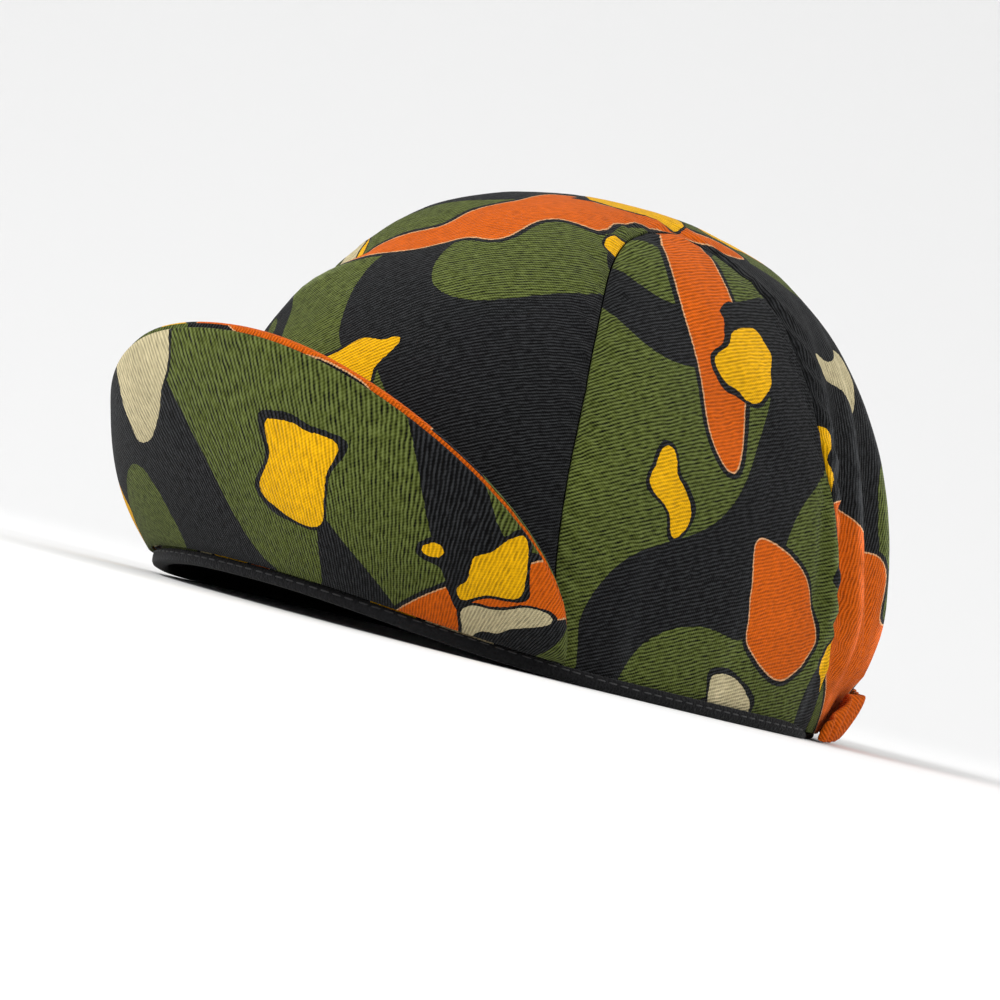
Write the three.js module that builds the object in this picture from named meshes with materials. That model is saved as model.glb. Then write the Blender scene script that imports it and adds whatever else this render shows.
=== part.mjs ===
// A three-panel cycling cap with its short peak turned up, in millimetres, +Z up.
// The front of the cap faces -Y and the wearer's left side is +X. The rim stands on z = 0.
// The crown is a centre panel that runs from forehead to nape and two D-shaped side panels. A sweatband
// lines the rim and is rolled round its edge, and an elastic in a gathered casing draws the nape in.
import * as THREE from 'three';
import { mergeVertices } from 'three/addons/utils/BufferGeometryUtils.js';

// Crown body, from the middle of the cap to the outer face where the crown is fullest
const BODY_FRONT = 105;
const BODY_BACK = 91;
const BODY_SIDE = 78;
const CROWN_HEIGHT = 118; // rim plane to the top of the crown
const CORNER_POWER = 2.34; // 2 is an ellipse seen from above, more is squarer
const SHOULDER_POWER = 2.45; // the same for how long the walls stay upright
const TOP_POWER = 2.1; // the same for how flat the top is

// Rim: how far the edge is drawn in from the body, and how it rises over the forehead
const TUCK_SIDE = 2;
const TUCK_BACK = 21;
const TUCK_FADE = 24; // height over which the drawn-in wall swells out again
const ARCH_RISE = 5;
const ARCH_SPAN = 62; // degrees each side of the front
const NAPE_RISE = 5; // how far the elastic lifts the rim at the nape
const NAPE_SPAN = 75; // degrees each side of the back

// Cloth
const WALL = 1.2;
const SEAM_GAP = 0.3; // between two pieces that are sewn edge to edge
const BAND_GAP = 0.6; // between the crown and what lies against it
const SEAM_DIP = 0.9; // how deep a sewn seam pulls the cloth in
const SEAM_DIP_WIDTH = 5;

// Crown seam between the centre panel and a side panel, from the end of the peak over the top to the nape
// elastic, in degrees round from the front and up from the rim
const SEAM = [
  { around: 56, up: 0 },
  { around: 51.5, up: 8 },
  { around: 49.5, up: 18 },
  { around: 48.5, up: 30 },
  { around: 47, up: 44 },
  { around: 46, up: 60 },
  { around: 54, up: 69 },
  { around: 70, up: 72 },
  { around: 84, up: 67 },
  { around: 93, up: 56 },
  { around: 96, up: 42 },
  { around: 98, up: 29 },
  { around: 99, up: 18 },
  { around: 100, up: 8 },
  { around: 101, up: 0 },
];

// Sweatband
const BAND_THICK = 1.2;
const BAND_HEIGHT = 22;
const LIP_THICK = 1.1;
const LIP_HEIGHT = 3.4;
const FOLD_THICK = 1.2; // the band's turned-under edge, which the cap stands on

// Elastic casing at the nape
const CASING_SPAN = 76; // degrees each side of the back
const CASING_HEIGHT = 13;
const CASING_THICK = 1.6;
const CASING_END_HEIGHT = 5.5; // what is left of its height at each end, where it runs into the hem
const CASING_END_SPAN = 10; // degrees over which it sinks to that
const CASING_GATHERS = 24;
const CASING_GATHER_DEPTH = 0.8;
const CASING_SINK = 0.6; // how far it sinks into the crown's own gathers, as a share of their depth

// Gathers that the elastic makes in the crown above it
const GATHERS = 10;
const GATHER_SPAN = 82; // degrees each side of the back
const GATHER_DEPTH = 2.2;
const GATHER_FADE = 26; // height over which they die out

// Peak
const PEAK_SPAN = 55; // degrees each side of the front
const PEAK_DEPTH = 52.5; // root to edge at the middle
const PEAK_TAPER = 1.3; // 1 is a half oval, more draws its ends to a point
const PEAK_PLY = 1.2;
const PEAK_PLY_GAP = 0.3;
const PEAK_THICK = 2 * PEAK_PLY + PEAK_PLY_GAP;
const PEAK_EDGE = 1.1; // how far the upper cloth shows past the underside at the edge
const PEAK_LEAN = 21; // degrees that the turned-up peak leans out at the middle
const PEAK_SIDE_LEAN = 36; // and near its ends
const PEAK_BOW = 3.4; // how far it bows forward between root and edge

// Folds and dents of the crown: where each lies, in degrees round from the front and up from the rim,
// which way it runs (0 is level, 90 is upright), and its reach, width and depth as shares of the sizes below.
const FOLD_REACH = 40;
const FOLD_WIDTH = 12;
const FOLD_DEPTH = 2.4;
const FOLDS = [
  { around: -34, up: 40, turn: 35, reach: 0.4, width: 0.55, depth: 0.9 }, // dimple behind the peak
  { around: -20, up: 33, turn: 15, reach: 0.7, width: 0.7, depth: 0.5 },
  { around: 82, up: 50, turn: -28, reach: 0.8, width: 0.9, depth: 0.5 }, // shallow drag lines from the seam
  { around: 92, up: 33, turn: -12, reach: 0.9, width: 1.0, depth: 0.35 },
  { around: -96, up: 42, turn: 20, reach: 0.9, width: 1.0, depth: 0.4 },
  { around: 108, up: 30, turn: 84, reach: 0.8, width: 0.6, depth: 0.9 }, // pleats beside the seams
  { around: -110, up: 28, turn: 96, reach: 0.7, width: 0.6, depth: 0.8 },
];

// How finely the surfaces are divided
const LENGTH_STEPS = 30;
const ACROSS_STEPS = 38;
const SIDE_STEPS = 8;
const RING_STEPS = 80;
const BAND_STEPS = 3;
const PEAK_STEPS = 32;
const PEAK_RISE_STEPS = 6;
const CASING_STEPS = 88;
const CASING_RISE_STEPS = 2;

// Where the crown's cut edge sits: on the sweatband's turned-under edge
const FOOT = FOLD_THICK + SEAM_GAP;

const { sin, cos, abs, sign, PI } = Math;
const rad = THREE.MathUtils.degToRad;
const lerp = THREE.MathUtils.lerp;

// The point on a unit dome that lies round degrees from the front and up degrees from the rim.
function direction(round, up) {
  const r = rad(round);
  const u = rad(up);
  return new THREE.Vector3(sin(r) * cos(u), -cos(r) * cos(u), sin(u));
}

// The crown body's outline from above, as far round as the angle r.
function bodyOutline(r) {
  const c = cos(r);
  const s = sin(r);
  const long = c > 0 ? BODY_FRONT : BODY_BACK;
  return new THREE.Vector2(
    BODY_SIDE * sign(s) * abs(s) ** (2 / CORNER_POWER),
    -long * sign(c) * abs(c) ** (2 / CORNER_POWER),
  );
}

// The level direction that points straight out of the outline.
function outward(r) {
  const step = 0.02;
  const along = bodyOutline(r + step).sub(bodyOutline(r - step)).normalize();
  return new THREE.Vector3(along.y, -along.x, 0);
}

// How far the rim rises over the forehead and at the nape.
function archAt(r) {
  const front = Math.min(abs(r) / rad(ARCH_SPAN), 1);
  const back = Math.min((PI - abs(r)) / rad(NAPE_SPAN), 1);
  return ARCH_RISE * cos(front * PI / 2) ** 2 + NAPE_RISE * cos(back * PI / 2) ** 2;
}

function turned(r) {
  return Math.atan2(sin(r), cos(r));
}

// The crown seam as a smooth line of unit directions on the wearer's left
const seamLine = new THREE.CatmullRomCurve3(SEAM.map((row) => direction(row.around, row.up)));

// A point of the seam, from 0 at the peak to 1 at the nape, moved so far towards the side panel.
function seamPoint(share, toSide = 0) {
  const here = seamLine.getPointAt(share).normalize();
  const ahead = seamLine.getTangentAt(share);
  const aside = ahead.cross(here).normalize();
  const point = here.addScaledVector(aside, toSide).normalize();
  if (share === 0 || share === 1) point.z = 0;
  return point;
}

const seamSamples = seamLine.getSpacedPoints(120).map((point) => point.normalize());

// Rows of the crown lie closer together near the rim, where the wall curves most.
function rowShare(share) {
  return share - 0.045 * sin(2 * PI * share);
}

// How deep the elastic's gathers are at most at a point of the unit dome.
function gatherReach(point) {
  const fromBack = PI - abs(Math.atan2(point.x, -point.y));
  const span = THREE.MathUtils.smoothstep(rad(GATHER_SPAN) - fromBack, 0, rad(8));
  return GATHER_DEPTH * span * Math.exp(-((CROWN_HEIGHT * point.z / GATHER_FADE) ** 2));
}

function gatherWave(point) {
  const fromBack = PI - Math.atan2(point.x, -point.y);
  return 0.5 + 0.5 * cos(fromBack / rad(GATHER_SPAN) * GATHERS * PI);
}

// How much the cloth is pulled in at a point of the unit dome: by the seams and by the folds.
function pulledIn(point) {
  const folded = new THREE.Vector3(abs(point.x), point.y, point.z);
  const fromSeam = Math.min(...seamSamples.map((sample) => sample.distanceTo(folded))) * BODY_SIDE;
  const height = CROWN_HEIGHT * point.z;
  // The band holds the cloth flat behind it.
  const free = THREE.MathUtils.smoothstep(height, BAND_HEIGHT, 2 * BAND_HEIGHT);
  const seamDip = SEAM_DIP * Math.exp(-((fromSeam / SEAM_DIP_WIDTH) ** 2));
  let depth = seamDip * free + gatherReach(point) * gatherWave(point);
  for (const fold of FOLDS) {
    const middle = direction(fold.around, fold.up);
    if (middle.dot(point) < 0) continue;
    const level = new THREE.Vector3(cos(rad(fold.around)), sin(rad(fold.around)), 0);
    const upright = new THREE.Vector3().crossVectors(level, middle).negate();
    const away = point.clone().sub(middle).multiplyScalar(BODY_SIDE);
    const t = rad(fold.turn);
    const a = away.dot(level) * cos(t) + away.dot(upright) * sin(t);
    const b = -away.dot(level) * sin(t) + away.dot(upright) * cos(t);
    const reach = fold.reach * FOLD_REACH;
    const width = fold.width * FOLD_WIDTH;
    depth += free * fold.depth * FOLD_DEPTH * Math.exp(-((a / reach) ** 2) - (b / width) ** 2);
  }
  return depth;
}

// The smooth outer face of the crown over a point of the unit dome.
function bodyPoint(point) {
  const r = Math.atan2(point.x, -point.y);
  const up = Math.asin(THREE.MathUtils.clamp(point.z, 0, 1));
  const rise = sin(up) ** (2 / TOP_POWER);
  const height = FOOT + (CROWN_HEIGHT - FOOT) * rise;
  const flat = bodyOutline(r).multiplyScalar(cos(up) ** (2 / SHOULDER_POWER));
  const back = Math.max(-cos(r), 0) ** 1.2;
  const tuck = lerp(TUCK_SIDE, TUCK_BACK, back) * Math.exp(-height / TUCK_FADE) * (1 - rise);
  const out = outward(r);
  return new THREE.Vector3(
    flat.x - out.x * tuck,
    flat.y - out.y * tuck,
    height + archAt(r) * (1 - rise) ** 3,
  );
}

// The direction that the smooth crown faces over a point of the unit dome.
function bodyNormal(point) {
  const side = new THREE.Vector3(-point.y, point.x, 0);
  if (side.lengthSq() < 1e-6) side.set(1, 0, 0);
  side.normalize();
  const rising = new THREE.Vector3().crossVectors(point, side);
  const step = 0.01;
  const near = (axis, by) => bodyPoint(point.clone().addScaledVector(axis, by).normalize());
  const low = Math.min(step, Math.max(point.z - 1e-4, 0));
  const a = near(side, step).sub(near(side, -step));
  const b = near(rising, step).sub(near(rising, -low));
  const normal = a.cross(b).normalize();
  return normal.dot(point) < 0 ? normal.negate() : normal;
}

// The crown over a point of the unit dome, so far inside its outer face, with its dips and folds.
function crownPoint(point, inside) {
  return bodyPoint(point).addScaledVector(bodyNormal(point), -inside - pulledIn(point));
}

// A point at a height beside the crown's smooth wall, moved out by so much as measured square to the wall.
// Inside the crown it also clears the gathers.
function wallPoint(r, height, out) {
  const rise = THREE.MathUtils.clamp((height - FOOT) / (CROWN_HEIGHT - FOOT), 0, 1);
  const up = Math.asin(rise ** (TOP_POWER / 2));
  const point = new THREE.Vector3(sin(r) * cos(up), -cos(r) * cos(up), sin(up));
  const level = outward(r);
  const behind = out < 0 ? gatherReach(point) : 0;
  const place = bodyPoint(point).addScaledVector(level, (out - behind) / bodyNormal(point).dot(level));
  place.z = height + archAt(r) * (1 - rise) ** 3;
  return place;
}

// A closed solid from a grid of points on its outer face and one on its inner face. A ring closes on itself.
function wallGeometry(outer, inner, ring = false) {
  const rows = outer.length;
  const columns = outer[0].length;
  const points = [...outer.flat(), ...inner.flat()];
  const inside = rows * columns;
  const at = (i, j) => (i % rows) * columns + j;
  const faces = [];
  const quad = (a, b, c, d) => faces.push(a, b, c, a, c, d);
  for (let i = 0; i < (ring ? rows : rows - 1); i++) {
    for (let j = 0; j < columns - 1; j++) {
      quad(at(i, j), at(i + 1, j), at(i + 1, j + 1), at(i, j + 1));
      quad(inside + at(i, j), inside + at(i, j + 1), inside + at(i + 1, j + 1), inside + at(i + 1, j));
    }
    const last = columns - 1;
    quad(at(i + 1, 0), at(i, 0), inside + at(i, 0), inside + at(i + 1, 0));
    quad(at(i, last), at(i + 1, last), inside + at(i + 1, last), inside + at(i, last));
  }
  for (let j = 0; j < columns - 1 && !ring; j++) {
    const end = rows - 1;
    quad(at(0, j), at(0, j + 1), inside + at(0, j + 1), inside + at(0, j));
    quad(at(end, j + 1), at(end, j), inside + at(end, j), inside + at(end, j + 1));
  }
  return closedGeometry(points, faces);
}

// A closed ring whose section is a closed line of points.
function ringGeometry(sections) {
  const rows = sections.length;
  const columns = sections[0].length;
  const at = (i, j) => (i % rows) * columns + (j % columns);
  const faces = [];
  for (let i = 0; i < rows; i++) {
    for (let j = 0; j < columns; j++) {
      const [a, b, c, d] = [at(i, j), at(i + 1, j), at(i + 1, j + 1), at(i, j + 1)];
      faces.push(a, b, c, a, c, d);
    }
  }
  return closedGeometry(sections.flat(), faces);
}

// A geometry from points and faces, turned to face out.
function closedGeometry(points, faces) {
  let volume = 0;
  for (let i = 0; i < faces.length; i += 3) {
    volume += points[faces[i]].dot(points[faces[i + 1]].clone().cross(points[faces[i + 2]]));
  }
  const geometry = new THREE.BufferGeometry();
  const places = points.flatMap((point) => point.toArray());
  geometry.setAttribute('position', new THREE.Float32BufferAttribute(places, 3));
  geometry.setIndex(volume < 0 ? faces.toReversed() : faces);
  const merged = mergeVertices(geometry);
  merged.computeVertexNormals();
  return merged;
}

function grid(rows, columns, pointAt) {
  return Array.from({ length: rows + 1 }, (_, i) =>
    Array.from({ length: columns + 1 }, (_, j) => pointAt(i / rows, j / columns)));
}

// Half of the gap at a sewn seam, as a share of the unit dome
const HALF_SEAM = SEAM_GAP / 2 / BODY_SIDE;

// The panel from forehead to nape, in rows from one seam over the middle to the other.
function centrePanel() {
  const face = (inside) => grid(LENGTH_STEPS, ACROSS_STEPS, (share, across) => {
    const row = rowShare(share);
    const middle = new THREE.Vector3(0, -cos(row * PI), sin(row * PI));
    const edge = seamPoint(row, -HALF_SEAM);
    const point = middle.lerp(edge, abs(2 * across - 1)).normalize();
    point.x *= sign(across - 0.5);
    return crownPoint(point, inside);
  });
  return wallGeometry(face(0), face(WALL));
}

// A D-shaped side panel, in lines from the seam down to the rim. side is 1 on the wearer's left and -1 on
// the right.
function sidePanel(side) {
  const blunt = 0.012; // share of the seam left off at each corner, where seam and rim meet
  const [front, back] = [SEAM[0].around, SEAM.at(-1).around];
  const face = (inside) => grid(LENGTH_STEPS, SIDE_STEPS, (share, down) => {
    const row = THREE.MathUtils.clamp(rowShare(share), blunt, 1 - blunt);
    const foot = direction(lerp(front, back, row), 0);
    const point = seamPoint(row, HALF_SEAM).lerp(foot, down).normalize();
    point.x *= side;
    return crownPoint(point, inside);
  });
  return wallGeometry(face(0), face(WALL));
}

// The band inside the rim, whose lower edge is rolled under the crown and up its outside as a narrow lip.
// Short of the elastic casing the lip ends, and the turned-under edge keeps to the inside.
function sweatband() {
  const inner = -WALL - BAND_GAP;
  const ringStep = 360 / RING_STEPS;
  const sections = Array.from({ length: RING_STEPS }, (_, i) => {
    const r = turned(i * rad(ringStep));
    const pastCasing = 180 - THREE.MathUtils.radToDeg(abs(r)) - CASING_SPAN;
    const lipTop = pastCasing < 2 * ringStep ? FOLD_THICK + SEAM_GAP / 2 : LIP_HEIGHT;
    const edge = pastCasing < ringStep ? -LIP_THICK - SEAM_GAP : BAND_GAP;
    const section = [
      [edge + LIP_THICK, lipTop],
      [edge + LIP_THICK, 0],
      [inner - BAND_THICK, 0],
    ];
    for (let k = 1; k <= BAND_STEPS; k++) section.push([inner - BAND_THICK, BAND_HEIGHT * k / BAND_STEPS]);
    for (let k = BAND_STEPS; k >= 1; k--) section.push([inner, BAND_HEIGHT * k / BAND_STEPS]);
    section.push([inner, FOLD_THICK], [edge, FOLD_THICK], [edge, lipTop]);
    return section.map(([out, height]) => wallPoint(r, height, out));
  });
  return ringGeometry(sections);
}

// The gathered cloth tube that holds the elastic across the nape, thinner and lower towards its two ends.
function elasticCasing() {
  const inner = BAND_GAP;
  const bottom = SEAM_GAP;
  const wall = CASING_THICK * 0.65;
  const face = (out, ruffled) => grid(CASING_STEPS, CASING_RISE_STEPS, (across, up) => {
    const r = PI + rad(lerp(-CASING_SPAN, CASING_SPAN, across));
    const fromEnd = CASING_SPAN * (1 - abs(2 * across - 1));
    const full = THREE.MathUtils.smoothstep(fromEnd, 0, CASING_END_SPAN);
    const height = lerp(bottom, bottom + lerp(CASING_END_HEIGHT, CASING_HEIGHT, full), up);
    const wave = 0.5 + 0.5 * cos(across * CASING_GATHERS * 2 * PI);
    const round = sin(lerp(0.15, 0.85, up) * PI);
    const ruffle = ruffled ? full * (CASING_GATHER_DEPTH * wave + CASING_THICK - wall) * round : 0;
    const foot = new THREE.Vector3(sin(r), -cos(r), 0);
    const place = wallPoint(r, height, out + ruffle);
    return place.addScaledVector(outward(r), -CASING_SINK * gatherReach(foot) * gatherWave(foot));
  });
  return wallGeometry(face(inner + wall, true), face(inner, false));
}

// One cloth of the turned-up peak. near is how far out it lies from the peak's far face, and extra is how far
// its edge reaches past the peak's.
function peakPly(near, extra) {
  const endAngle = 88; // degrees along the peak's half-oval outline, just short of its pointed ends
  const face = (offset) => grid(PEAK_STEPS, PEAK_RISE_STEPS, (across, up) => {
    const along = rad(lerp(-endAngle, endAngle, across));
    const r = rad(PEAK_SPAN) * sin(along);
    const depth = PEAK_DEPTH * cos(along) ** PEAK_TAPER + extra * cos(along);
    const lean = rad(lerp(PEAK_LEAN, PEAK_SIDE_LEAN, abs(sin(along)) ** 1.5));
    const level = outward(r);
    const rising = level.clone().multiplyScalar(sin(lean)).setZ(cos(lean));
    const facing = level.clone().multiplyScalar(cos(lean)).setZ(-sin(lean));
    const bow = PEAK_BOW * sin(up * PI) * Math.sqrt(cos(along));
    const root = LIP_HEIGHT + SEAM_GAP + PEAK_THICK * sin(lean);
    return wallPoint(r, root, BAND_GAP)
      .addScaledVector(rising, depth * up)
      .addScaledVector(facing, offset + bow);
  });
  return wallGeometry(face(near + PEAK_PLY), face(near));
}

function piece(name, geometry, color, roughness = 0.9) {
  const material = new THREE.MeshStandardMaterial({ color, roughness, metalness: 0 });
  const mesh = new THREE.Mesh(geometry, material);
  mesh.name = name;
  return mesh;
}

const OLIVE = 0x4d5a26;
const BLACK = 0x17181b;
const ORANGE = 0xd05a1e;

const cap = new THREE.Group();
cap.add(
  piece('crown_centre_panel', centrePanel(), OLIVE),
  piece('crown_side_panel_left', sidePanel(1), OLIVE),
  piece('crown_side_panel_right', sidePanel(-1), OLIVE),
  piece('sweatband', sweatband(), BLACK),
  piece('elastic_casing', elasticCasing(), OLIVE),
  piece('peak_upper_cloth', peakPly(0, PEAK_EDGE), ORANGE),
  piece('peak_under_cloth', peakPly(PEAK_PLY + PEAK_PLY_GAP, 0), OLIVE),
);

// The origin is the middle of the whole cap's footprint, peak included, on the surface that it stands on
const extent = new THREE.Box3().setFromObject(cap);
cap.children.forEach((mesh) => mesh.position.setY(-(extent.min.y + extent.max.y) / 2));

export default cap;
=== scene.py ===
import cmath
import math

import bpy
from mathutils import Matrix, Vector, kdtree, noise
from mathutils.bvhtree import BVHTree


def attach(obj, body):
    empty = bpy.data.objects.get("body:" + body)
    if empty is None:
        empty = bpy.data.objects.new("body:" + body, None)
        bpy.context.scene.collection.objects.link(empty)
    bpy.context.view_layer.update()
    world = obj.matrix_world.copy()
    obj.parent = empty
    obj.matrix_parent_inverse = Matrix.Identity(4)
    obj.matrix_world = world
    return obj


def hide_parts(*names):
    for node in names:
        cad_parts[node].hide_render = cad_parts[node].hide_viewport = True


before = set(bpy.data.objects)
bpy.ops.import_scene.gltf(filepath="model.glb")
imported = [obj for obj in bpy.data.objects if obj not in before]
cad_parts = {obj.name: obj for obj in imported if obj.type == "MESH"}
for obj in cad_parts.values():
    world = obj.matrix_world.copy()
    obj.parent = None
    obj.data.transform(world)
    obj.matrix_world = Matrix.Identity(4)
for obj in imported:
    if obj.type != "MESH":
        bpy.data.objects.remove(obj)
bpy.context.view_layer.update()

# Crown centre panel
# A strip of twill that runs from the forehead over the top to the nape. It is printed before it is cut, and
# it is unlined, so its plain back shows inside the cap. Both its edges are sewn to the side panels.

CAP_MIDDLE = Vector((0, 0.0205, 0))  # middle of the head opening
CROWN_FRONT = 0.105
CROWN_BACK = 0.091
CROWN_SIDE = 0.078
CROWN_HEIGHT = 0.118

OLIVE = (0.060, 0.076, 0.0110)
INK = (0.0038, 0.0040, 0.0045)
ORANGE = (0.51, 0.088, 0.002)
YELLOW = (0.66, 0.345, 0.001)
CREAM = (0.44, 0.38, 0.225)
PALE_LINE = (0.55, 0.29, 0.14)
FIBRE_AND_HIGHLIGHT = (0.0095, 0.0100, 0.0105)  # what the raised fibres add to the darker colours, partly a painted highlight on the ribs' tops and the rubbed ridges
CLOTH_BACK = (0.012, 0.012, 0.013)

RIB_PITCH = 0.00086
YARN_PITCH = 0.00062
FLECKS_SHARE = 1.15  # how much the fine flecks add to the ribs
OUTLINE = 0.0013  # width of the dark line that is printed round a patch
PALE_WIDTH = 0.0004
WELD = 0.00001
SHARP = 0.6  # two faces whose normals' dot product is less than this meet at a sharp edge
OUTER = 0.35  # how squarely a face looks outwards, or inwards, to count as the outer side or the back
SIDE_WALL = 0.062  # the side walls lie further out than this, and below SIDE_TOP
SIDE_TOP = 0.095
TOP_START = 0.06  # the height from which the centre panel leans over the top
TOP_RADIUS = 0.1


def stretched(point):
    """A point's way from the middle of the head opening, as shares of the crown's sizes."""
    away = point - CAP_MIDDLE
    reach = CROWN_FRONT if away.y < 0 else CROWN_BACK
    return Vector((away.x / CROWN_SIDE, away.y / reach, away.z / CROWN_HEIGHT))


def facing_out(point):
    """The direction that the crown faces at a point."""
    shares = stretched(point)
    reach = CROWN_FRONT if shares.y < 0 else CROWN_BACK
    return Vector((shares.x / CROWN_SIDE, shares.y / reach, max(shares.z, 0) / CROWN_HEIGHT)).normalized()


def eased(value, start, end):
    share = min(1, max(0, (value - start) / (end - start)))
    return share * share * (3 - 2 * share)


def cloth_from_solid(node, name, side=1, edge_crease=0.75):
    """Copies a piece's solid, welds it, lays it out flat as the cloth was cut, and rounds it by subdivision.
    side is 1 where the printed face looks away from the head and -1 where it looks towards it."""
    piece = bpy.data.objects.new(name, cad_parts[node].data.copy())
    bpy.context.scene.collection.objects.link(piece)
    bpy.ops.object.select_all(action="DESELECT")
    piece.select_set(True)
    bpy.context.view_layer.objects.active = piece
    bpy.ops.object.mode_set(mode="EDIT")
    bpy.ops.mesh.select_all(action="SELECT")
    bpy.ops.mesh.remove_doubles(threshold=WELD)
    bpy.ops.mesh.tris_convert_to_quads(face_threshold=math.radians(45), shape_threshold=math.radians(75))
    bpy.ops.object.mode_set(mode="OBJECT")

    mesh = piece.data
    mesh.materials.clear()  # before the faces are sorted, since it resets which material each one has
    looks = [side * face.normal.dot(facing_out(face.center)) for face in mesh.polygons]
    for face, look in zip(mesh.polygons, looks):
        face.use_smooth = True
        face.material_index = 1 if look < -OUTER else 0
    neighbours = {}
    for face in mesh.polygons:
        for key in face.edge_keys:
            neighbours.setdefault(key, []).append(face.index)
    crease = mesh.attributes.new("crease_edge", "FLOAT", "EDGE")
    border = []
    for edge in mesh.edges:
        first, second = neighbours[edge.key]
        sharp = mesh.polygons[first].normal.dot(mesh.polygons[second].normal) < SHARP
        outer = max(looks[first], looks[second]) > OUTER
        edge.use_seam = sharp and not outer
        crease.data[edge.index].value = edge_crease if sharp else 0
        if sharp and outer:
            ends = [mesh.vertices[index].co for index in edge.vertices]
            border += [ends[0].lerp(ends[1], share / 8) for share in range(8)]
    lay_flat(mesh, neighbours)

    rounding = piece.modifiers.new("rounding", "SUBSURF")
    rounding.levels = 2
    rounding.render_levels = 2
    bpy.ops.object.modifier_apply(modifier=rounding.name)
    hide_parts(node)
    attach(piece, "root")
    return piece, border


def flat_guess(point):
    """Roughly where a point lies on the flat cloth, across and along, in metres."""
    away = point - CAP_MIDDLE
    if abs(away.x) > SIDE_WALL and away.z < SIDE_TOP:
        return complex(away.y, away.z)
    if away.z > TOP_START:
        return complex(away.x, TOP_RADIUS * math.atan2(away.z, -away.y))
    return complex(away.x, away.z)


def lay_flat(mesh, neighbours):
    """Unwraps the cloth, then turns and sizes each flat piece so that its UV map is in metres and upright."""
    while mesh.uv_layers:
        mesh.uv_layers.remove(mesh.uv_layers[0])
    mesh.uv_layers.new(name="flat_cloth")
    bpy.ops.object.mode_set(mode="EDIT")
    bpy.ops.mesh.select_all(action="SELECT")
    bpy.ops.uv.unwrap(method="ANGLE_BASED", margin=0.001)
    bpy.ops.object.mode_set(mode="OBJECT")
    uv = mesh.uv_layers["flat_cloth"].data
    cuts = {edge.key for edge in mesh.edges if edge.use_seam}
    unseen = set(range(len(mesh.polygons)))
    while unseen:
        island = [unseen.pop()]
        for index in island:
            for key in mesh.polygons[index].edge_keys:
                for other in neighbours[key]:
                    if other in unseen and key not in cuts:
                        unseen.remove(other)
                        island.append(other)
        loops = [loop for index in island for loop in mesh.polygons[index].loop_indices]
        flat = [complex(*uv[loop].uv) for loop in loops]
        guess = [flat_guess(mesh.vertices[mesh.loops[loop].vertex_index].co) for loop in loops]
        flat_middle = sum(flat) / len(flat)
        guess_middle = sum(guess) / len(guess)
        flat = [place - flat_middle for place in flat]
        kept = sum(place.conjugate() * (other - guess_middle) for place, other in zip(flat, guess))
        mirrored = sum(place * (other - guess_middle) for place, other in zip(flat, guess))
        if abs(mirrored) > abs(kept):
            flat = [place.conjugate() for place in flat]
            kept = mirrored
        area = 0
        for index in island:
            corners = [complex(*uv[loop].uv) for loop in mesh.polygons[index].loop_indices]
            turns = [corners[k - 1].conjugate() * corners[k] for k in range(len(corners))]
            area += abs(sum(turn.imag for turn in turns)) / 2
        size = math.sqrt(sum(mesh.polygons[index].area for index in island) / max(area, 1e-12))
        turn = cmath.rect(size, cmath.phase(kept))
        for loop, place in zip(loops, flat):
            placed = place * turn + guess_middle
            uv[loop].uv = (placed.real, placed.imag)


# Creases that the worn cloth keeps: where each lies, in degrees round from the front and up from the rim,
# which way it runs (0 is level, 90 is upright), and its reach, width and depth in metres. A negative depth is
# a ridge.
CREASES = [
    {"around": -33, "up": 42, "turn": 30, "reach": 0.012, "width": 0.0040, "depth": 0.0025},
    {"around": -29, "up": 37, "turn": 40, "reach": 0.011, "width": 0.0040, "depth": -0.0015},
    {"around": -23, "up": 47, "turn": 20, "reach": 0.016, "width": 0.0060, "depth": 0.0011},
    {"around": 10, "up": 50, "turn": -12, "reach": 0.030, "width": 0.0080, "depth": 0.0007},
    {"around": 61, "up": 47, "turn": -35, "reach": 0.018, "width": 0.0050, "depth": 0.0010},
    {"around": 65, "up": 41, "turn": -28, "reach": 0.020, "width": 0.0050, "depth": 0.0010},
    {"around": 74, "up": 33, "turn": -15, "reach": 0.022, "width": 0.0060, "depth": 0.0007},
    {"around": 88, "up": 22, "turn": 15, "reach": 0.020, "width": 0.0060, "depth": 0.0006},
    {"around": 97, "up": 20, "turn": 80, "reach": 0.026, "width": 0.0030, "depth": 0.0014},
    {"around": 101, "up": 23, "turn": 84, "reach": 0.030, "width": 0.0026, "depth": -0.0020},
    {"around": 105, "up": 22, "turn": 88, "reach": 0.032, "width": 0.0034, "depth": 0.0026},
    {"around": 111, "up": 27, "turn": 84, "reach": 0.034, "width": 0.0028, "depth": -0.0021},
    {"around": 117, "up": 20, "turn": 90, "reach": 0.028, "width": 0.0036, "depth": 0.0022},
    {"around": 124, "up": 24, "turn": 92, "reach": 0.026, "width": 0.0032, "depth": -0.0016},
    {"around": -98, "up": 20, "turn": 100, "reach": 0.026, "width": 0.0030, "depth": 0.0014},
    {"around": -103, "up": 22, "turn": 94, "reach": 0.030, "width": 0.0028, "depth": -0.0020},
    {"around": -109, "up": 24, "turn": 92, "reach": 0.030, "width": 0.0036, "depth": 0.0024},
    {"around": -117, "up": 22, "turn": 88, "reach": 0.028, "width": 0.0032, "depth": -0.0018},
    {"around": -64, "up": 40, "turn": 30, "reach": 0.022, "width": 0.0060, "depth": 0.0010},
]
for crease in CREASES:
    around, up, turn = (math.radians(crease[key]) for key in ("around", "up", "turn"))
    flat_out = Vector((math.sin(around), -math.cos(around), 0))
    level = Vector((math.cos(around), math.sin(around), 0))
    crease["middle"] = flat_out * math.cos(up) + Vector((0, 0, math.sin(up)))
    rising = Vector((0, 0, math.cos(up))) - flat_out * math.sin(up)
    crease["along"] = level * math.cos(turn) + rising * math.sin(turn)
    crease["aside"] = rising * math.cos(turn) - level * math.sin(turn)

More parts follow.
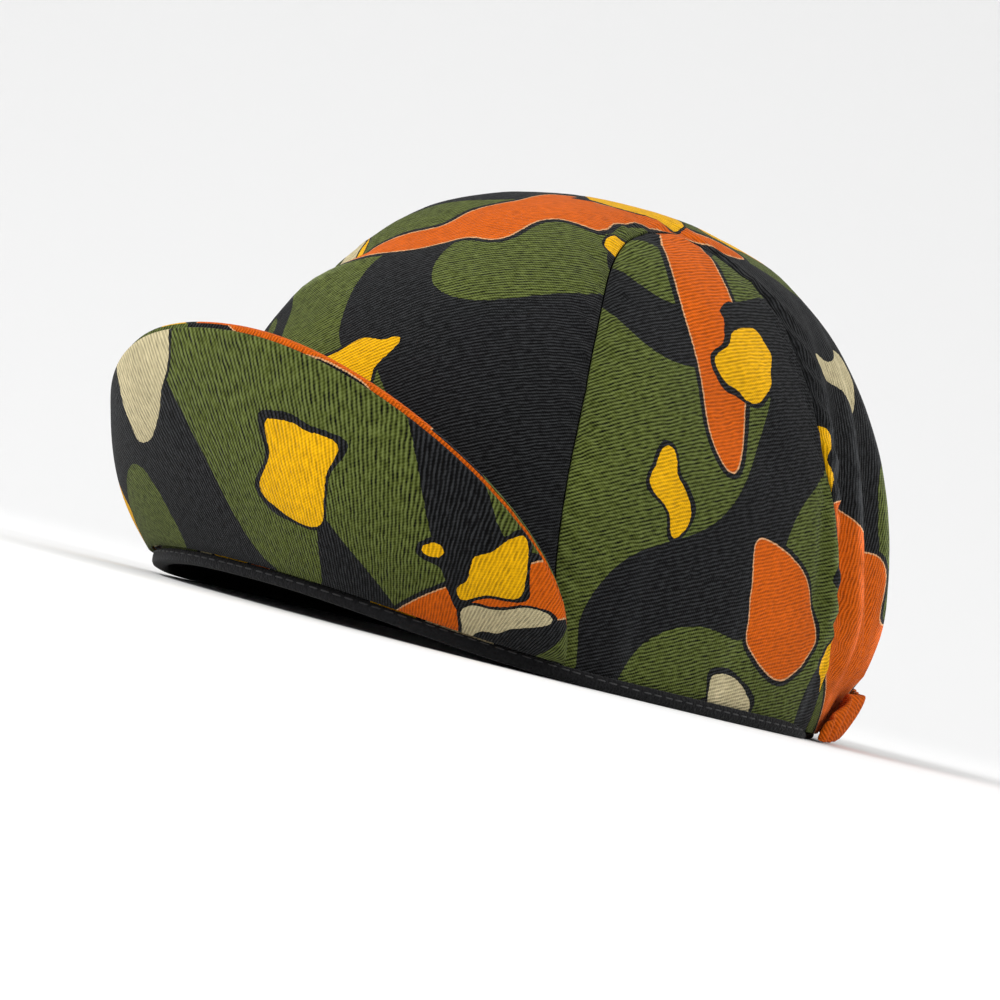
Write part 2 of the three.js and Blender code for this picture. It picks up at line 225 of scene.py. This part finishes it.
RIPPLE_SPAN = math.radians(80)  # each side of the back, above the elastic
RIPPLES = 23
RIPPLE_DEPTH = 0.0036
RIPPLE_FADE = 0.030


def crease_depth(point):
    """How deep the creases and the cloth's own unevenness go at a point of the crown."""
    depth = 0.00042 * noise.noise(point * 45) + 0.00018 * noise.noise(point * 130)
    shares = stretched(point).normalized()
    for crease in CREASES:
        away = (shares - crease["middle"]) * CROWN_SIDE
        along = away.dot(crease["along"]) / crease["reach"]
        aside = away.dot(crease["aside"]) / crease["width"]
        depth += crease["depth"] * math.exp(-(along**2) - aside**2)
    if depth > 0:  # the sweatband leaves a hollow no room
        return depth * eased(point.z, 0.021, 0.036)
    return depth * eased(point.z, 0.012, 0.030)


def ripple_height(point):
    """How far the fine gathers above the elastic stand out."""
    away = point - CAP_MIDDLE
    from_back = math.atan2(away.x, away.y)
    span = eased(RIPPLE_SPAN - abs(from_back), 0, 0.12)
    fade = math.exp(-((point.z / RIPPLE_FADE) ** 2)) * eased(point.z, 0.013, 0.019)
    wander = 2.4 * noise.noise(Vector((from_back * 4, point.z * 30, 3)))
    wave = 0.5 + 0.5 * math.cos(from_back / RIPPLE_SPAN * RIPPLES * math.pi + wander)
    return RIPPLE_DEPTH * span * fade * wave * (0.7 + 0.6 * noise.noise(Vector((from_back * 9, 0, 7))))


RIDGE_HEIGHT = 0.0012  # ridges at least this high are rubbed pale, partly with a painted highlight


def rub_and_highlight_share(point, to_seam):
    """How much the print is rubbed off a place, partly as wear and partly as a painted highlight: on the
    ridges behind the ears and along the back seams.
    """
    shares = stretched(point).normalized()
    share = 0.8 * eased(point.y, 0.035, 0.060) * math.exp(-((to_seam / 0.0010) ** 2))
    for crease in CREASES:
        if crease["depth"] < -RIDGE_HEIGHT:
            away = (shares - crease["middle"]) * CROWN_SIDE
            along = away.dot(crease["along"]) / crease["reach"]
            aside = away.dot(crease["aside"]) / (crease["width"] * 0.4)
            share += math.exp(-(along**2) - aside**2)
    return min(1, share) * (0.7 + 0.9 * noise.noise(point * 250))


SEAM_ROLL = 0.0008  # how far the cloth rolls in beside a seam
SEAM_ROLL_WIDTH = 0.0015
PUCKER_DEPTH = 0.0007
PUCKER_PITCH = 0.0070
HEM_LIFT = 0.0001  # it keeps the hem clear of the rolled lip


def press_creases(piece, border):
    """Presses the creases, the fine gathers and the rolled, puckered seam edges into a crown panel."""
    seam = kdtree.KDTree(len(border))
    for index, point in enumerate(border):
        seam.insert(point, index)
    seam.balance()
    mesh = piece.data
    # how pale each point is painted: partly rubbed wear, partly a painted highlight on the ridges and back
    # seam edges
    rubbed_and_highlit = mesh.attributes.new("rubbed_and_highlit", "FLOAT", "POINT")
    moved = []
    for vertex in mesh.vertices:
        point = vertex.co
        to_seam = seam.find(point)[2]
        rolled = math.exp(-((to_seam / SEAM_ROLL_WIDTH) ** 2))
        puckered = math.exp(-((to_seam / 0.006) ** 2)) - rolled
        phase = 2 * math.pi * (point.z + 0.6 * point.y) / PUCKER_PITCH
        pucker = math.sin(phase + 2 * noise.noise(point * 60))
        free = eased(point.z, 0.010, 0.026)
        depth = crease_depth(point) - ripple_height(point)
        depth += free * (SEAM_ROLL * rolled + PUCKER_DEPTH * puckered * pucker)
        lift = Vector((0, 0, HEM_LIFT * (1 - eased(point.z, 0.0018, 0.005))))
        moved.append(point - facing_out(point) * depth + lift)
        rubbed_and_highlit.data[vertex.index].value = max(0, rub_and_highlight_share(point, to_seam))
    for vertex, place in zip(mesh.vertices, moved):
        vertex.co = place
    mesh.update()


def shader(tree, kind, inputs=None, **settings):
    """A shader node with its settings, each input set to a value or joined to another node's output."""
    made = tree.nodes.new(kind)
    for key, value in settings.items():
        setattr(made, key, value)
    for key, value in (inputs or {}).items():
        if isinstance(value, bpy.types.NodeSocket):
            tree.links.new(value, made.inputs[key])
        else:
            made.inputs[key].default_value = value
    return made


def maths(tree, operation, *values):
    return shader(tree, "ShaderNodeMath", dict(enumerate(values)), operation=operation).outputs[0]


def twill(tree, flat, turn):
    """The height of the twill's wandering ribs and of the uneven yarns across them. turn is in degrees."""
    turned = shader(tree, "ShaderNodeMapping", {"Vector": flat, "Rotation": (0, 0, math.radians(turn))})
    parts = shader(tree, "ShaderNodeSeparateXYZ", {0: turned.outputs[0]})
    wander = shader(tree, "ShaderNodeTexNoise", {"Vector": flat, "Scale": 110.0, "Detail": 1.0})
    uneven = shader(tree, "ShaderNodeTexNoise", {"Vector": flat, "Scale": 450.0, "Detail": 1.0})
    wandered = maths(tree, "MULTIPLY", wander.outputs[0], 7.0)
    shift = maths(tree, "MULTIPLY_ADD", uneven.outputs[0], 3.0, wandered)
    down = maths(tree, "MULTIPLY_ADD", parts.outputs["Y"], 2 * math.pi / RIB_PITCH, shift)
    slant = maths(tree, "MULTIPLY_ADD", parts.outputs["X"], 2 * math.pi / YARN_PITCH, shift)
    step = maths(tree, "MULTIPLY_ADD", parts.outputs["Y"], math.pi / RIB_PITCH, slant)
    stretch = {0: turned.outputs[0], 1: (0.4, 1.0, 1.0)}
    drawn_out = shader(tree, "ShaderNodeVectorMath", stretch, operation="MULTIPLY").outputs[0]
    flecks = shader(tree, "ShaderNodeTexNoise", {"Vector": drawn_out, "Scale": 1300.0, "Detail": 1.0})
    strength = maths(tree, "MULTIPLY_ADD", uneven.outputs[0], 0.55, 0.08)
    rib = maths(tree, "MULTIPLY_ADD", maths(tree, "SINE", down), strength, 0.0)
    yarn = maths(tree, "MULTIPLY_ADD", maths(tree, "SINE", step), 0.10, rib)
    return maths(tree, "MULTIPLY_ADD", flecks.outputs[0], FLECKS_SHARE, yarn)


def large_patch_depth(tree, place, scale, level, shift, lobes):
    """How far inside a large patch each place lies, in metres. Patches are where a swirled noise is high."""
    step = 0.0005
    heights = []
    for across, along in [(0, 0), (step, 0), (0, step)]:
        moved = shader(
            tree,
            "ShaderNodeVectorMath",
            {0: place, 1: (shift[0] + across, shift[1] + along, 0)},
            operation="ADD",
        )
        swirled = shader(
            tree,
            "ShaderNodeTexNoise",
            {
                "Vector": moved.outputs[0],
                "Scale": scale,
                "Detail": lobes,
                "Roughness": 0.45,
                "Distortion": SWIRL,
            },
            noise_dimensions="2D",
        )
        heights.append(swirled.outputs[0])
    across = maths(tree, "SUBTRACT", heights[1], heights[0])
    along = maths(tree, "SUBTRACT", heights[2], heights[0])
    squares = maths(tree, "MULTIPLY_ADD", across, across, maths(tree, "MULTIPLY", along, along))
    slope = maths(tree, "SQRT", squares)
    steady = maths(tree, "MINIMUM", maths(tree, "MAXIMUM", slope, 0.0004), 0.02)
    above = maths(tree, "MULTIPLY", maths(tree, "SUBTRACT", heights[0], level), step)
    return maths(tree, "DIVIDE", above, steady)


def small_patch_depth(tree, place, spacing, radius, slim, shift):
    """How far inside a small patch each place lies, in metres. Most cells of the roll hold one."""
    moved = shader(tree, "ShaderNodeVectorMath", {0: place, 1: (*shift, 0)}, operation="ADD").outputs[0]
    sway = shader(
        tree,
        "ShaderNodeTexNoise",
        {"Vector": moved, "Scale": 60.0, "Detail": 0.6},
        noise_dimensions="2D",
    )
    swayed = shader(
        tree,
        "ShaderNodeVectorMath",
        {0: sway.outputs["Color"], 1: (SWAY, SWAY, 0), 2: moved},
        operation="MULTIPLY_ADD",
    )
    squeezed = shader(
        tree,
        "ShaderNodeMapping",
        {"Vector": swayed.outputs[0], "Rotation": (0, 0, math.radians(35)), "Scale": (1, slim, 1)},
    )
    cells = shader(
        tree,
        "ShaderNodeTexVoronoi",
        {"Vector": squeezed.outputs[0], "Scale": 1 / spacing, "Randomness": 0.8},
        voronoi_dimensions="2D",
    )
    lot = shader(tree, "ShaderNodeSeparateColor", {0: cells.outputs["Color"]}).outputs[0]
    printed = maths(tree, "GREATER_THAN", lot, 0.25)
    size = maths(tree, "MULTIPLY_ADD", lot, radius * 0.6, radius * 0.4 + spacing)
    reach = maths(tree, "MULTIPLY_ADD", size, printed, -spacing)
    return maths(tree, "MULTIPLY_ADD", cells.outputs["Distance"], -spacing, reach)


def printed_over(tree, under, color, depth, starts_at):
    """Covers the colours under it with one ink wherever the depth inside the patch is past starts_at."""
    cover = maths(tree, "GREATER_THAN", depth, starts_at)
    mixed = shader(tree, "ShaderNodeMix", {0: cover, 7: (*color, 1.0)}, data_type="RGBA")
    if isinstance(under, bpy.types.NodeSocket):
        tree.links.new(under, mixed.inputs[6])
    else:
        mixed.inputs[6].default_value = (*under, 1.0)
    return mixed.outputs[2]


# The inks over the olive ground, in the order that they are printed. Of a large patch: the noise's scale per
# metre, the level above which it lies, and how lobed its edge is. Of a small one: the cells' spacing, its
# largest radius, and how slim it is. shift is where on the roll each one starts.
SWIRL = 0.9
SWAY = 0.022
LARGE_PATCHES = [
    {"color": INK, "scale": 14.0, "level": 0.535, "shift": (0.0, 0.0), "lobes": 1.2},
    {"color": ORANGE, "scale": 12.5, "level": 0.600, "shift": (1.7, 0.9), "lobes": 1.0},
]
SMALL_PATCHES = [
    {"color": YELLOW, "spacing": 0.048, "radius": 0.0095, "slim": 0.75, "shift": (3.1, 2.3)},
    {"color": CREAM, "spacing": 0.056, "radius": 0.0085, "slim": 0.55, "shift": (5.2, 4.6)},
]


def printed_twill(name, cut_at, rib_turn):
    """Olive twill with printed patches. cut_at is where on the roll the piece was cut, in metres."""
    material = bpy.data.materials.new(name)
    material.use_nodes = True
    tree = material.node_tree
    tree.nodes.clear()
    flat = shader(tree, "ShaderNodeUVMap", uv_map="flat_cloth").outputs["UV"]
    cut = shader(
        tree,
        "ShaderNodeMapping",
        {"Vector": flat, "Location": (*cut_at, 0)},
    ).outputs[0]
    yarn_ends = shader(tree, "ShaderNodeTexNoise", {"Vector": flat, "Scale": 1100.0, "Detail": 1.0})
    ends = yarn_ends.outputs["Color"]
    bleed = shader(tree, "ShaderNodeVectorMath", {0: ends, 3: 0.0005}, operation="SCALE").outputs[0]
    bled = shader(tree, "ShaderNodeVectorMath", {0: cut, 1: bleed}, operation="ADD").outputs[0]
    colors = OLIVE
    for ink in LARGE_PATCHES:
        depth = large_patch_depth(tree, bled, ink["scale"], ink["level"], ink["shift"], ink["lobes"])
        if ink["color"] == ORANGE:
            colors = printed_over(tree, colors, INK, depth, -OUTLINE)
            colors = printed_over(tree, colors, PALE_LINE, depth, 0.0)
            colors = printed_over(tree, colors, ORANGE, depth, PALE_WIDTH)
        else:
            colors = printed_over(tree, colors, ink["color"], depth, 0.0)
    for ink in SMALL_PATCHES:
        depth = small_patch_depth(tree, bled, ink["spacing"], ink["radius"], ink["slim"], ink["shift"])
        colors = printed_over(tree, colors, INK, depth, -OUTLINE)
        colors = printed_over(tree, colors, ink["color"], depth, 0.0)

    place = shader(tree, "ShaderNodeTexCoord").outputs["Object"]
    weave = twill(tree, flat, rib_turn)
    # The ribs' height also goes into the colour: partly the yarn's own unevenness, partly painted shade in
    # the hollows and a painted highlight on the ribs.
    rib_shade = shader(tree, "ShaderNodeMapRange", {"Value": weave, "To Min": -0.06, "To Max": 1.76})
    redness = shader(tree, "ShaderNodeSeparateColor", {0: colors}).outputs[0]
    thick_ink = maths(tree, "GREATER_THAN", redness, 0.2)  # it fills the hollows between the ribs, so less painted shade and highlight goes on it
    evenness = maths(tree, "MULTIPLY", thick_ink, 0.6)
    inked_shade = shader(tree, "ShaderNodeMix", {0: evenness, 2: rib_shade.outputs[0], 3: 1.0}).outputs[0]
    worn = shader(
        tree,
        "ShaderNodeTexNoise",
        {"Vector": place, "Scale": 60.0, "Detail": 5.0, "Roughness": 0.65},
    ).outputs[0]
    worn_shade = shader(tree, "ShaderNodeMapRange", {"Value": worn, "To Min": 0.74, "To Max": 1.26})
    # Painted highlight: the rubbed places are made paler, partly as wear and partly as a highlight on the
    # ridges and back seam edges.
    rubbed_and_highlit = shader(tree, "ShaderNodeAttribute", attribute_name="rubbed_and_highlit").outputs["Fac"]
    paler = maths(tree, "MULTIPLY_ADD", rubbed_and_highlit, 0.9, 1.0)
    shade = maths(tree, "MULTIPLY", maths(tree, "MULTIPLY", inked_shade, worn_shade.outputs[0]), paler)
    shaded = shader(tree, "ShaderNodeVectorMath", {0: colors, 3: shade}, operation="SCALE")
    # The tops of the ribs get pale fibres on the darker colours, partly a painted highlight; the rubbed
    # places get five times as much.
    raised = shader(tree, "ShaderNodeMapRange", {"Value": weave, "From Min": 0.5, "To Max": 2.0}).outputs[0]
    bare = maths(tree, "SUBTRACT", raised, maths(tree, "MULTIPLY", thick_ink, raised))
    shown = maths(tree, "MULTIPLY_ADD", rubbed_and_highlit, 5.0, bare)
    fibres_and_highlight = shader(tree, "ShaderNodeVectorMath", {0: FIBRE_AND_HIGHLIGHT, 3: shown}, operation="SCALE").outputs[0]
    lifted = shader(tree, "ShaderNodeVectorMath", {0: shaded.outputs[0], 1: fibres_and_highlight}, operation="ADD")
    fuzz = shader(tree, "ShaderNodeTexNoise", {"Vector": flat, "Scale": 2600.0, "Detail": 2.0})
    height = maths(tree, "MULTIPLY_ADD", fuzz.outputs[0], 0.35, weave)
    bump = shader(tree, "ShaderNodeBump", {"Height": height, "Strength": 0.8, "Distance": 0.00035})
    cloth = shader(
        tree,
        "ShaderNodeBsdfPrincipled",
        {
            "Base Color": lifted.outputs[0],
            "Roughness": 0.85,
            "Specular IOR Level": 0.08,
            "Sheen Weight": 0.04,
            "Sheen Roughness": 0.45,
            "Normal": bump.outputs[0],
        },
    )
    shader(tree, "ShaderNodeOutputMaterial", {"Surface": cloth.outputs[0]})
    return material


def plain_back(name, rib_turn):
    """The unprinted back of the dyed twill, as it shows inside the crown."""
    material = bpy.data.materials.new(name)
    material.use_nodes = True
    tree = material.node_tree
    tree.nodes.clear()
    flat = shader(tree, "ShaderNodeUVMap", uv_map="flat_cloth").outputs["UV"]
    place = shader(tree, "ShaderNodeTexCoord").outputs["Object"]
    weave = twill(tree, flat, rib_turn)
    worn = shader(tree, "ShaderNodeTexNoise", {"Vector": place, "Scale": 35.0, "Detail": 4.0})
    tone = maths(tree, "MULTIPLY_ADD", weave, 0.5, maths(tree, "MULTIPLY_ADD", worn.outputs[0], 0.9, 0.3))
    shaded = shader(tree, "ShaderNodeVectorMath", {0: CLOTH_BACK, 3: tone}, operation="SCALE")
    bump = shader(tree, "ShaderNodeBump", {"Height": weave, "Strength": 0.5, "Distance": 0.0002})
    cloth = shader(
        tree,
        "ShaderNodeBsdfPrincipled",
        {
            "Base Color": shaded.outputs[0],
            "Roughness": 0.9,
            "Specular IOR Level": 0.15,
            "Sheen Weight": 0.1,
            "Normal": bump.outputs[0],
        },
    )
    shader(tree, "ShaderNodeOutputMaterial", {"Surface": cloth.outputs[0]})
    return material


def dress_in_print(piece, cut_at, rib_turn):
    piece.data.materials.append(printed_twill(piece.name + "_print", cut_at, rib_turn))
    piece.data.materials.append(plain_back(piece.name + "_back", rib_turn))


centre_panel, centre_border = cloth_from_solid("crown_centre_panel", "centre_panel_cloth")
press_creases(centre_panel, [point for point in centre_border if point.z > 0.008])
dress_in_print(centre_panel, cut_at=(0.27, 1.75), rib_turn=-38)

# Crown side panels
# Two D-shaped pieces of the same printed twill, one over each ear, eased into the curve of the centre panel's
# edges and sewn to it with the turnings inside. Their ribs run level, and neighbours' prints don't match.

for side, cut_at in [("left", (2.77, 1.40)), ("right", (1.52, 1.76))]:
    side_panel, side_border = cloth_from_solid(f"crown_side_panel_{side}", f"side_panel_cloth_{side}")
    press_creases(side_panel, [point for point in side_border if point.z > 0.008])
    dress_in_print(side_panel, cut_at, rib_turn=0)

# Sweatband
# A near-black knitted band, soft and slightly fuzzy, sewn round the inside of the rim. Its lower edge is
# rolled under the crown and up its outside as a narrow lip, which a row of stitches holds down.

BAND_BLACK = (0.0060, 0.0060, 0.0066)


def fuzzy_knit(name):
    material = bpy.data.materials.new(name)
    material.use_nodes = True
    tree = material.node_tree
    tree.nodes.clear()
    place = shader(tree, "ShaderNodeTexCoord").outputs["Object"]
    loops = shader(tree, "ShaderNodeTexVoronoi", {"Vector": place, "Scale": 1500.0}).outputs["Distance"]
    fuzz = shader(tree, "ShaderNodeTexNoise", {"Vector": place, "Scale": 900.0, "Detail": 3.0}).outputs[0]
    height = maths(tree, "MULTIPLY_ADD", fuzz, 0.8, loops)
    tone = maths(tree, "MULTIPLY_ADD", height, 0.9, 0.35)
    shaded = shader(tree, "ShaderNodeVectorMath", {0: BAND_BLACK, 3: tone}, operation="SCALE")
    bump = shader(tree, "ShaderNodeBump", {"Height": height, "Strength": 0.7, "Distance": 0.0003})
    knit = shader(
        tree,
        "ShaderNodeBsdfPrincipled",
        {
            "Base Color": shaded.outputs[0],
            "Roughness": 0.95,
            "Specular IOR Level": 0.12,
            "Sheen Weight": 0.06,
            "Normal": bump.outputs[0],
        },
    )
    shader(tree, "ShaderNodeOutputMaterial", {"Surface": knit.outputs[0]})
    return material


sweatband, _ = cloth_from_solid("sweatband", "sweatband_cloth", edge_crease=0.3)
for face in sweatband.data.polygons:
    face.material_index = 0
for vertex in sweatband.data.vertices:
    free = eased(vertex.co.z, 0.004, 0.012)
    sway = 0.0002 * noise.noise(vertex.co * 70)
    vertex.co += facing_out(vertex.co) * sway * free
sweatband.data.materials.append(fuzzy_knit("band_knit"))

ARCH_RISE = 0.005
ARCH_SPAN = 62  # degrees each side of the front
LIP_STITCH_HEIGHT = 0.0021


def lip_middle(around):
    """The height of the stitches on the lip, which rises with the rim over the forehead."""
    share = min(1, abs(around) / ARCH_SPAN)
    return LIP_STITCH_HEIGHT + ARCH_RISE * math.cos(math.radians(90 * share)) ** 2


STITCH_PITCH = 0.0032
STITCH_LENGTH = 0.0022
STITCH_THICK = 0.0004
THREAD = (0.013, 0.013, 0.014)


def sewn_row(name, stitches, color):
    """A row of stitches: one rounded stitch, copied to each place and turned along the row. stitches holds
    each one's middle, the way that the row runs there and the way that the cloth faces."""
    bpy.ops.object.select_all(action="DESELECT")
    bpy.ops.mesh.primitive_cylinder_add(vertices=6, radius=STITCH_THICK / 2, depth=STITCH_LENGTH * 0.7)
    stitch = bpy.context.active_object
    bpy.ops.object.mode_set(mode="EDIT")
    bpy.ops.mesh.select_all(action="DESELECT")
    bpy.ops.mesh.select_mode(type="FACE")
    bpy.ops.object.mode_set(mode="OBJECT")
    for face in stitch.data.polygons:
        face.select = abs(face.normal.z) > 0.9
    bpy.ops.object.mode_set(mode="EDIT")
    bpy.ops.mesh.inset(thickness=STITCH_THICK * 0.25, use_individual=True, depth=STITCH_LENGTH * 0.15)
    bpy.ops.object.mode_set(mode="OBJECT")
    bpy.ops.object.shade_smooth()
    thread = bpy.data.materials.new(name + "_thread")
    thread.use_nodes = True
    tree = thread.node_tree
    shine = tree.nodes["Principled BSDF"]
    place = shader(tree, "ShaderNodeTexCoord").outputs["Object"]
    twist = shader(tree, "ShaderNodeTexNoise", {"Vector": place, "Scale": 3000.0, "Detail": 1.0}).outputs[0]
    tone = maths(tree, "ADD", twist, 0.5)
    toned = shader(tree, "ShaderNodeVectorMath", {0: color, 3: tone}, operation="SCALE").outputs[0]
    tree.links.new(toned, shine.inputs["Base Color"])
    shine.inputs["Roughness"].default_value = 0.6
    copies = []
    for middle, along, out in stitches:
        copy = bpy.data.objects.new(name, stitch.data.copy())
        bpy.context.scene.collection.objects.link(copy)
        aside = out.cross(along).normalized()
        facing = along.cross(aside)
        copy.matrix_world = Matrix.Translation(middle) @ Matrix((aside, facing, along)).transposed().to_4x4()
        copies.append(copy)
    bpy.data.objects.remove(stitch)
    bpy.ops.object.select_all(action="DESELECT")
    for copy in copies:
        copy.select_set(True)
    bpy.context.view_layer.objects.active = copies[0]
    bpy.ops.object.join()
    bpy.ops.object.transform_apply(location=True, rotation=True, scale=True)
    row = copies[0]
    row.name = name
    row.data.materials.append(thread)
    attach(row, "root")
    return row


ROW_STEPS = 720


def row_on(cloth, height, first, last, pitch):
    """Evenly spaced stitch places on a cloth's outer face at a height above the rim, from one angle round the
    cap to another, in degrees."""
    tree = BVHTree.FromObject(cloth, bpy.context.evaluated_depsgraph_get())
    line = []
    for step in range(ROW_STEPS + 1):
        turn = math.radians(first + (last - first) * step / ROW_STEPS)
        outwards = Vector((math.sin(turn), -math.cos(turn), 0))
        start = CAP_MIDDLE + outwards * 0.16 + Vector((0, 0, height(math.degrees(turn))))
        place, normal, _, _ = tree.ray_cast(start, -outwards)
        if place:
            line.append((place, normal))
    stitches = []
    walked = pitch
    for (place, normal), (ahead, _) in zip(line, line[1:]):
        walked += (ahead - place).length
        if walked >= pitch:
            walked -= pitch
            stitches.append((place - normal * STITCH_THICK * 0.15, (ahead - place).normalized(), normal))
    return stitches


LIP_END = 101  # degrees round from the front
lip_places = row_on(sweatband, lip_middle, -LIP_END, LIP_END, STITCH_PITCH)
lip_stitches = sewn_row("lip_stitches", lip_places, THREAD)

# Elastic casing
# A tube of the printed twill along the nape, with the elastic inside. It is cut longer than the elastic,
# which gathers it into small upright pleats.

PLEAT_DEPTH = 0.0015
PLEATS = 58  # in a full turn

elastic_casing, _ = cloth_from_solid("elastic_casing", "elastic_casing_cloth", edge_crease=0.25)
for face in elastic_casing.data.polygons:
    face.material_index = 0
for vertex in elastic_casing.data.vertices:
    away = vertex.co - CAP_MIDDLE
    from_back = math.atan2(away.x, away.y)
    wander = 2.5 * noise.noise(Vector((from_back * 6, vertex.co.z * 60, 1)))
    pleat = 0.5 + 0.5 * math.cos(from_back * PLEATS + wander)
    vertex.co += facing_out(vertex.co) * PLEAT_DEPTH * pleat
dress_in_print(elastic_casing, cut_at=(0.05, 0.81), rib_turn=0)

# Peak
# Two plies of printed twill, sewn to the front of the rim and turned up, so the underside faces forward. The
# cloth of the upper side shows past it as a fine strip. The plies' plain backs are shut in between them.

peak_under, _ = cloth_from_solid("peak_under_cloth", "peak_under_twill")
peak_upper, _ = cloth_from_solid("peak_upper_cloth", "peak_upper_twill", side=-1)
for peak_piece in (peak_under, peak_upper):
    for face in peak_piece.data.polygons:
        face.material_index = 0
    for vertex in peak_piece.data.vertices:
        wave = 0.00035 * noise.noise(Vector((vertex.co.x * 38, vertex.co.z * 30, 2)))
        vertex.co += facing_out(vertex.co) * wave * eased(vertex.co.z, 0.008, 0.020)
dress_in_print(peak_under, cut_at=(0.53, 2.16), rib_turn=60)
dress_in_print(peak_upper, cut_at=(2.34, 0.81), rib_turn=60)

# Floor, light and camera
# A round floor of pale paper whose edge curves up all round. Light comes from the room, from a large soft
# lamp in front of the cap, from a smaller one behind its left side, and from one that brightens the paper.

FLOOR_RADIUS = 0.9
FLOOR_CURVE = 2.0
FLOOR_STEPS = 30

bpy.ops.object.select_all(action="DESELECT")
bpy.ops.mesh.primitive_circle_add(vertices=96, radius=FLOOR_RADIUS, fill_type="NGON")
floor = bpy.context.active_object
floor.name = "floor"
bpy.ops.object.mode_set(mode="EDIT")
bpy.ops.mesh.select_mode(type="EDGE")
bpy.ops.mesh.select_all(action="SELECT")
bpy.ops.mesh.region_to_loop()
reach, rise = FLOOR_RADIUS, 0.0
for step in range(1, FLOOR_STEPS + 1):
    turn = math.radians(90) * step / FLOOR_STEPS
    next_reach = FLOOR_RADIUS + FLOOR_CURVE * math.sin(turn)
    next_rise = FLOOR_CURVE * (1 - math.cos(turn))
    bpy.ops.mesh.extrude_region_move(TRANSFORM_OT_translate={"value": (0, 0, next_rise - rise)})
    widening = next_reach / reach
    bpy.ops.transform.resize(value=(widening, widening, 1), center_override=(0, 0, next_rise))
    reach, rise = next_reach, next_rise
bpy.ops.mesh.select_all(action="SELECT")
bpy.ops.mesh.normals_make_consistent(inside=True)
bpy.ops.object.mode_set(mode="OBJECT")
bpy.ops.object.shade_smooth()
pale = bpy.data.materials.new("pale_floor")
pale.use_nodes = True
pale.node_tree.nodes["Principled BSDF"].inputs["Base Color"].default_value = (0.79, 0.79, 0.79, 1)
pale.node_tree.nodes["Principled BSDF"].inputs["Roughness"].default_value = 0.9
floor.data.materials.append(pale)

scene = bpy.context.scene
scene.view_settings.view_transform = "Standard"
world = bpy.data.worlds.new("studio")
world.use_nodes = True
world.node_tree.nodes["Background"].inputs["Color"].default_value = (1, 1, 1, 1)
world.node_tree.nodes["Background"].inputs["Strength"].default_value = 0.85
scene.world = world


def soft_light(name, place, target, size, power):
    lamp = bpy.data.lights.new(name, "AREA")
    lamp.size = size
    lamp.energy = power
    light = bpy.data.objects.new(name, lamp)
    light.location = place
    light.rotation_euler = (Vector(target) - Vector(place)).to_track_quat("-Z", "Y").to_euler()
    scene.collection.objects.link(light)


soft_light("key", (-0.25, -1.15, 0.95), target=CAP_MIDDLE, size=0.7, power=17)
soft_light("side", (0.95, 0.70, 0.55), target=CAP_MIDDLE, size=0.45, power=5)
soft_light("backdrop", (-0.60, 0.65, 1.50), target=(-1.75, 1.90, 0.55), size=1.2, power=6)

azimuth, elevation, roll = (math.radians(angle) for angle in (42.4, -2.0, 14.3))
distance = 0.765
backwards = Vector(
    (
        math.sin(azimuth) * math.cos(elevation),
        -math.cos(azimuth) * math.cos(elevation),
        math.sin(elevation),
    )
)
level_right = Vector((math.cos(azimuth), math.sin(azimuth), 0))
level_up = backwards.cross(level_right)
camera_right = level_right * math.cos(roll) + level_up * math.sin(roll)
camera_up = level_up * math.cos(roll) - level_right * math.sin(roll)
aim = CAP_MIDDLE - 0.0074 * camera_right + 0.0420 * camera_up
lens = bpy.data.cameras.new("camera")
lens.lens = 109.4
lens.sensor_width = 36
lens.clip_start = 0.01
camera = bpy.data.objects.new("camera", lens)
turned = Matrix((camera_right, camera_up, backwards)).transposed().to_4x4()
camera.matrix_world = Matrix.Translation(aim + backwards * distance) @ turned
scene.collection.objects.link(camera)
scene.camera = camera
